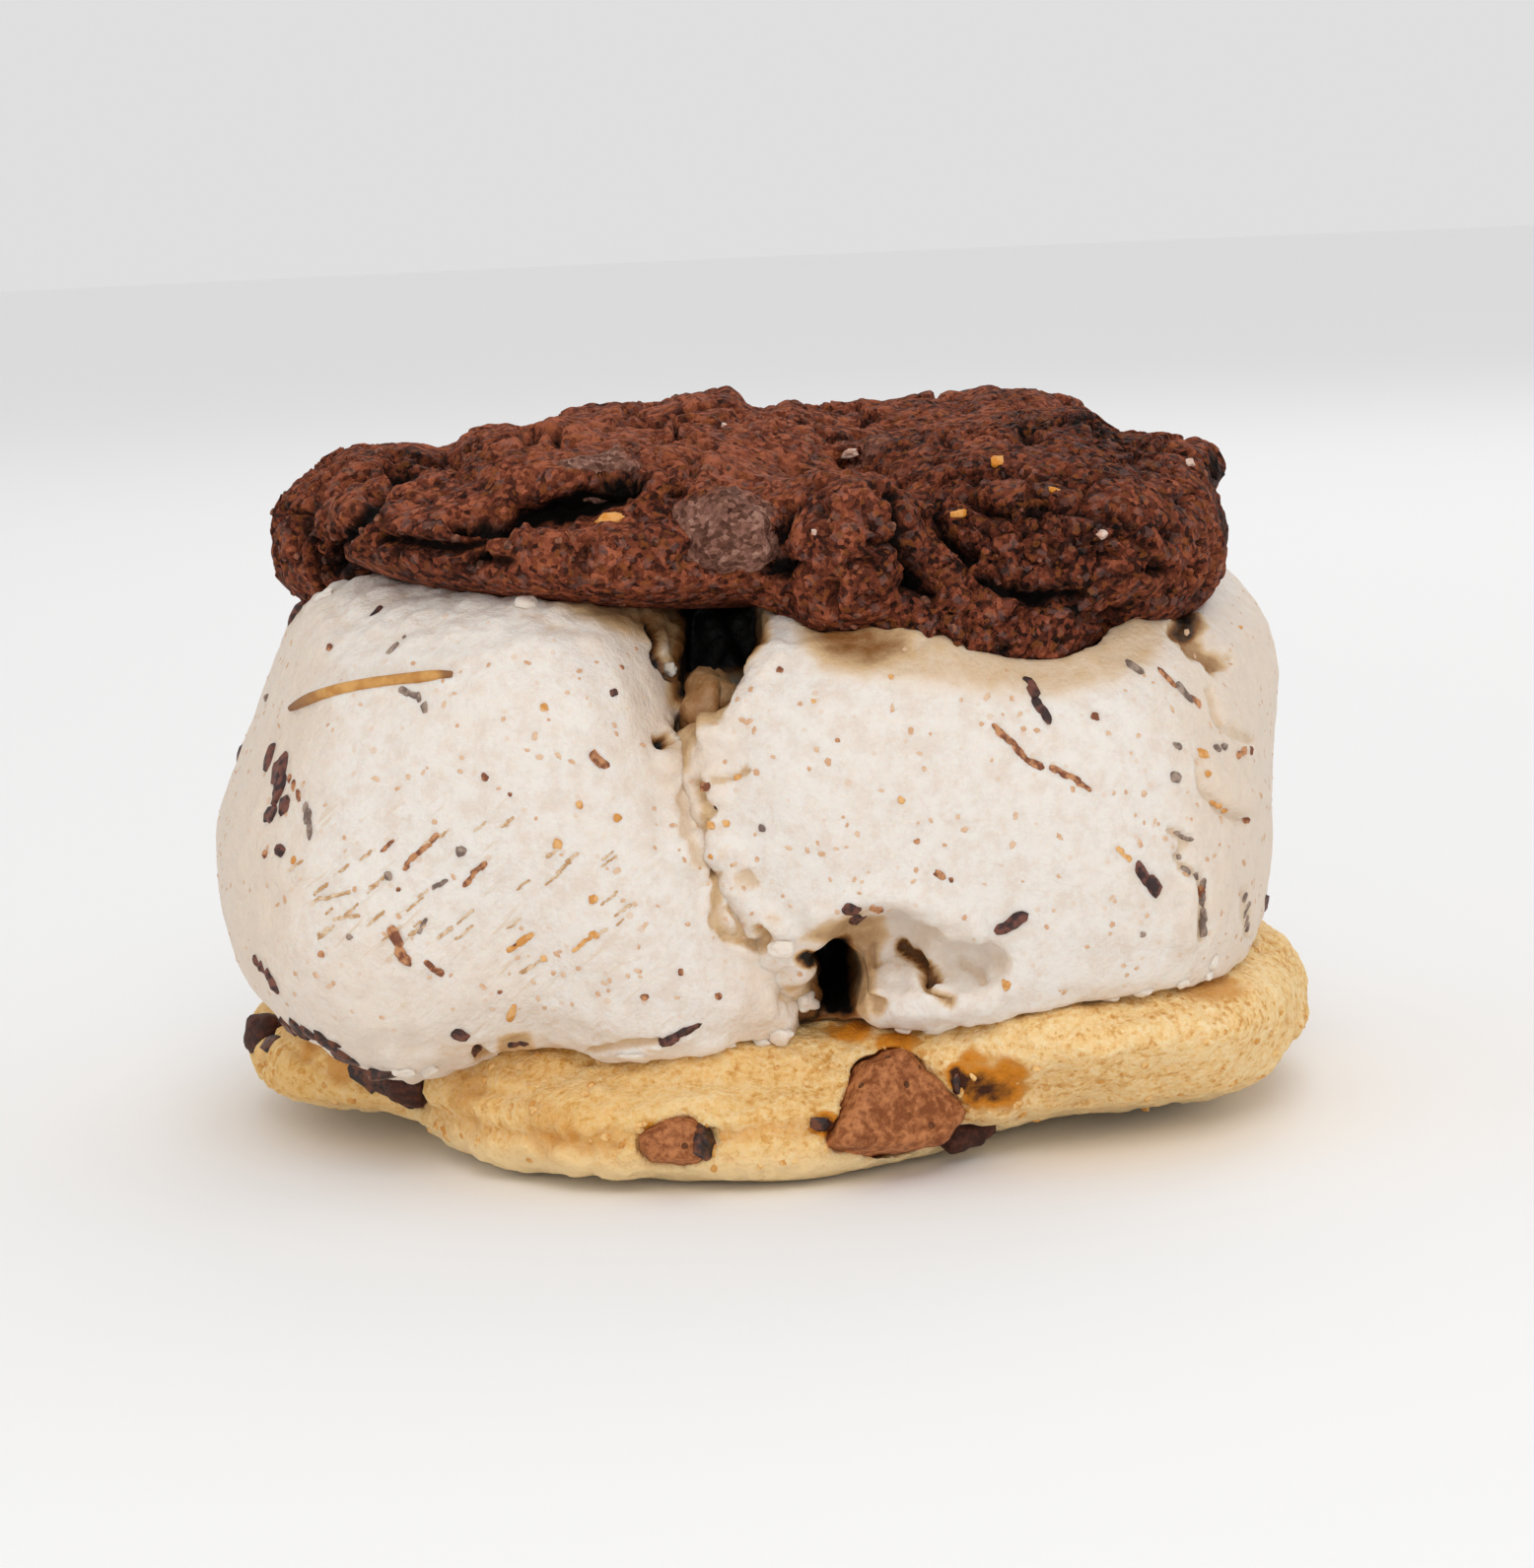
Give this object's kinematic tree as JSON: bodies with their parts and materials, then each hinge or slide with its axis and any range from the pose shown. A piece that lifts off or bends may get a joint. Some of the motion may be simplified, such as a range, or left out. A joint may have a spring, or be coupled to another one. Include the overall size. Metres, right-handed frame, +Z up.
{
  "type": "ice cream sandwich",
  "caption": "Ice cream sandwich: flecked vanilla ice cream pressed between a dark chocolate cookie and a golden chocolate-chunk cookie.",
  "frame": {"origin": "middle of the flat spot under the bottom cookie, at the height of what it stands on", "axes": "+Z up, -Y towards the side where the two scoops part, +X to the right seen from there"},
  "size_m": [0.0895, 0.0849, 0.0577],
  "materials": {
    "chocolate_cookie": "coarse crumbly dark chocolate cookie with near-black cracks, matte",
    "golden_cookie": "fine-crumbed golden cookie dough, matte, a little browner at the folds",
    "ice_cream": "cold scooped vanilla ice cream with fine brown flecks, soft satin, lets light in",
    "milk_chocolate": "baked milk chocolate, satin with small pores",
    "dark_chocolate": "baked dark chocolate, satin"
  },
  "bodies": {
    "root": {"bottom_cookie": "golden_cookie", "top_cookie": "chocolate_cookie", "scoop_left": "ice_cream", "scoop_right": "ice_cream", "base_chunk_1": "milk_chocolate", "base_chunk_2": "milk_chocolate", "base_chunk_3": "dark_chocolate", "base_chunk_4": "dark_chocolate", "base_chunk_5": "dark_chocolate", "base_chunk_6": "milk_chocolate", "base_chunk_7": "milk_chocolate", "base_chunk_8": "dark_chocolate", "base_chunk_9": "milk_chocolate", "base_chunk_10": "milk_chocolate", "top_chunk_1": "dark_chocolate", "top_chunk_2": "dark_chocolate", "top_chunk_3": "dark_chocolate", "top_chunk_4": "dark_chocolate", "top_chunk_5": "dark_chocolate"}
  },
  "joints": []
}
